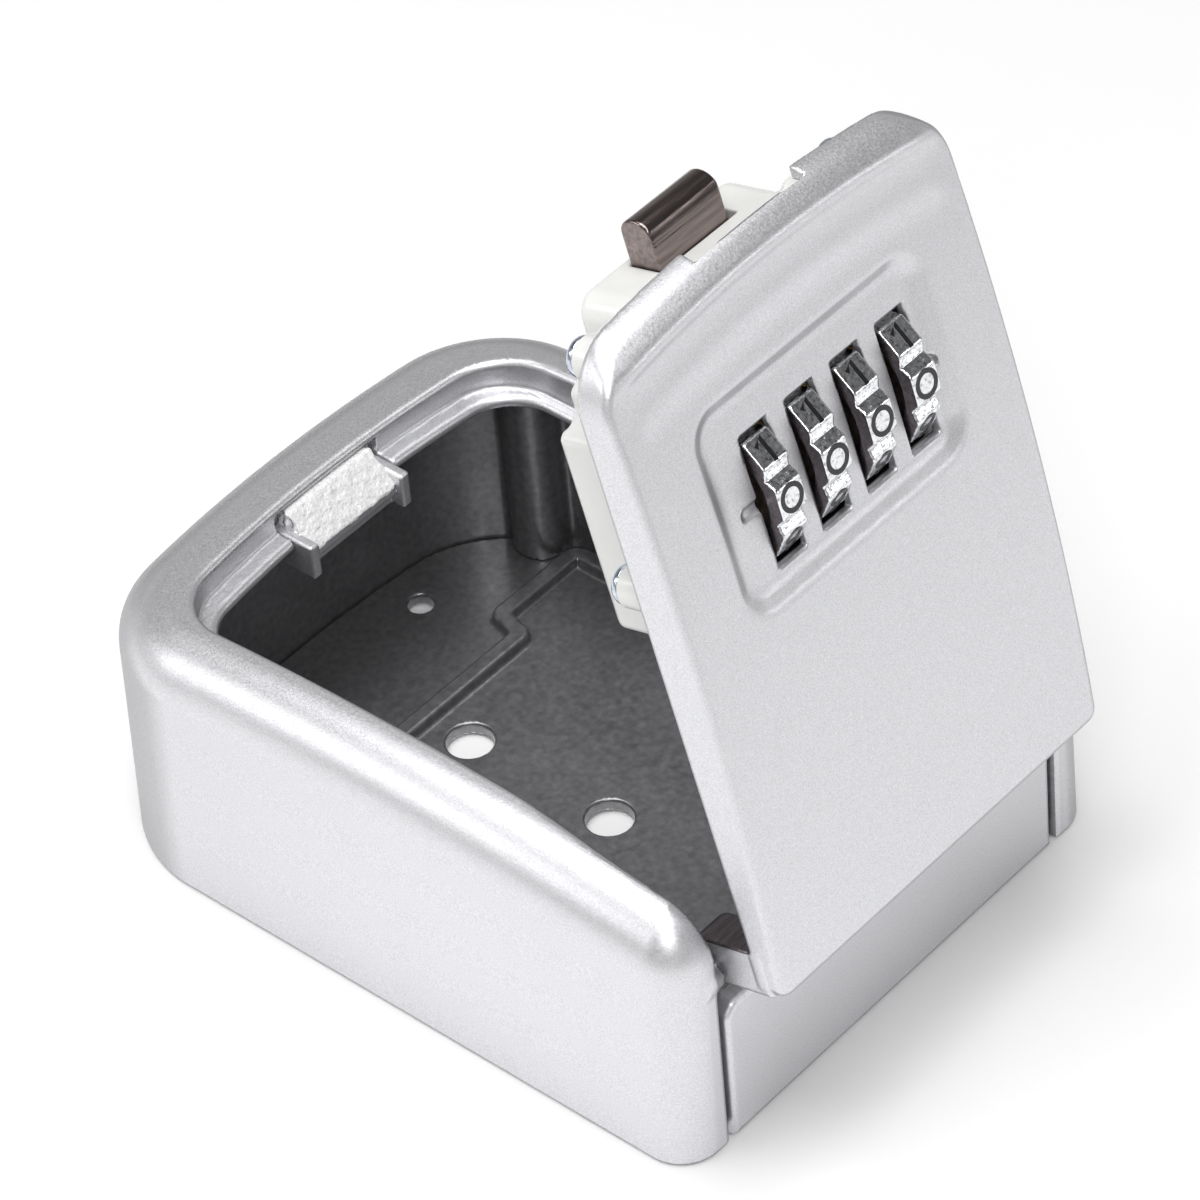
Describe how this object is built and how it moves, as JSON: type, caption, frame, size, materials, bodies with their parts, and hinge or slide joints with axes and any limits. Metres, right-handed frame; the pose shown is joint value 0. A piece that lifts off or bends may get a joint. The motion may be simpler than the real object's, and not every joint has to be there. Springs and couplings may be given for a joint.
{
  "type": "key lock box",
  "caption": "Wall-mounted key lock box with a hinged front door that carries combination dials, a sprung latch and its lock housing, standing open over a key cavity.",
  "frame": {"origin": "centre of the back face, which lies on the wall", "axes": "+X across the width, +Y from the hinge end to the arched end, +Z out of the wall"},
  "size_m": [0.093, 0.1306, 0.1344],
  "materials": {
    "silver_paint": "satin silver paint with fine metallic flake on die-cast zinc",
    "dark_paint": "satin dark grey paint on die-cast zinc",
    "strike_paint": "rough white-silver casting",
    "screw_steel": "bright zinc-plated steel",
    "pin_steel": "drawn steel",
    "spring_steel": "bright spring steel",
    "housing_plastic": "ivory moulded plastic with a slight gloss",
    "cover_plastic": "ivory moulded plastic, fine matt grain",
    "latch_metal": "dark nickel finish with fine streaks",
    "bar_steel": "yellow-zinc plated steel",
    "slider_plastic": "black moulded plastic",
    "dial_chrome": "plated zinc with black filled digits",
    "sleeve_brass": "turned brass"
  },
  "bodies": {
    "case": {"case_shell": "silver_paint", "base_plate": "dark_paint", "base_screws": "screw_steel", "strike_plate": "strike_paint", "hinge_pins": "pin_steel"},
    "lid": {"lid_shell": "silver_paint", "lock_housing": "housing_plastic", "back_cover": "cover_plastic", "housing_screws": "screw_steel", "dial_shaft": "pin_steel", "shaft_clips": "spring_steel", "detent_spring": "spring_steel", "sleeve_spring": "spring_steel", "latch_springs": "spring_steel"},
    "latch": {"latch_bolt": "latch_metal", "locking_bar": "bar_steel", "bar_rivets": "bar_steel"},
    "reset": {"reset_slider": "slider_plastic"},
    "dial_1": {"dial_ring_1": "dial_chrome"},
    "sleeve_1": {"gate_sleeve_1": "sleeve_brass"},
    "dial_2": {"dial_ring_2": "dial_chrome"},
    "sleeve_2": {"gate_sleeve_2": "sleeve_brass"},
    "dial_3": {"dial_ring_3": "dial_chrome"},
    "sleeve_3": {"gate_sleeve_3": "sleeve_brass"},
    "dial_4": {"dial_ring_4": "dial_chrome"},
    "sleeve_4": {"gate_sleeve_4": "sleeve_brass"}
  },
  "joints": [
    {"name": "lid_hinge", "type": "hinge", "parent": "case", "child": "lid", "pos_m": [0, -0.0576, 0.0314], "axis": [1, 0, 0], "range_deg": [-75, 30]},
    {"name": "latch_slide", "type": "slide", "parent": "lid", "child": "latch", "axis": [0, 0.2588, 0.9659], "range_m": [-0.0055, 0], "stiffness_N_per_m": 400, "springref_m": 0.003, "deforming": ["latch_springs"]},
    {"name": "reset_slide", "type": "slide", "parent": "lid", "child": "reset", "axis": [1, 0, 0], "range_m": [-0.002, 0], "stiffness_N_per_m": 500, "springref_m": 0.002, "deforming": ["sleeve_spring"]},
    {"name": "dial_1_turn", "type": "hinge", "parent": "lid", "child": "dial_1", "pos_m": [0, -0.04521, 0.09744], "axis": [1, 0, 0], "continuous": true},
    {"name": "sleeve_1_shift", "type": "slide", "parent": "dial_1", "child": "sleeve_1", "axis": [1, 0, 0], "range_m": [-0.002, 0]},
    {"name": "dial_2_turn", "type": "hinge", "parent": "lid", "child": "dial_2", "pos_m": [0, -0.04521, 0.09744], "axis": [1, 0, 0], "continuous": true},
    {"name": "sleeve_2_shift", "type": "slide", "parent": "dial_2", "child": "sleeve_2", "axis": [1, 0, 0], "range_m": [-0.002, 0]},
    {"name": "dial_3_turn", "type": "hinge", "parent": "lid", "child": "dial_3", "pos_m": [0, -0.04521, 0.09744], "axis": [1, 0, 0], "continuous": true},
    {"name": "sleeve_3_shift", "type": "slide", "parent": "dial_3", "child": "sleeve_3", "axis": [1, 0, 0], "range_m": [-0.002, 0]},
    {"name": "dial_4_turn", "type": "hinge", "parent": "lid", "child": "dial_4", "pos_m": [0, -0.04521, 0.09744], "axis": [1, 0, 0], "continuous": true},
    {"name": "sleeve_4_shift", "type": "slide", "parent": "dial_4", "child": "sleeve_4", "axis": [1, 0, 0], "range_m": [-0.002, 0]}
  ],
  "couplings": [
    {"joint": "sleeve_1_shift", "follows": "reset_slide", "ratio": 1},
    {"joint": "sleeve_2_shift", "follows": "reset_slide", "ratio": 1},
    {"joint": "sleeve_3_shift", "follows": "reset_slide", "ratio": 1},
    {"joint": "sleeve_4_shift", "follows": "reset_slide", "ratio": 1}
  ]
}
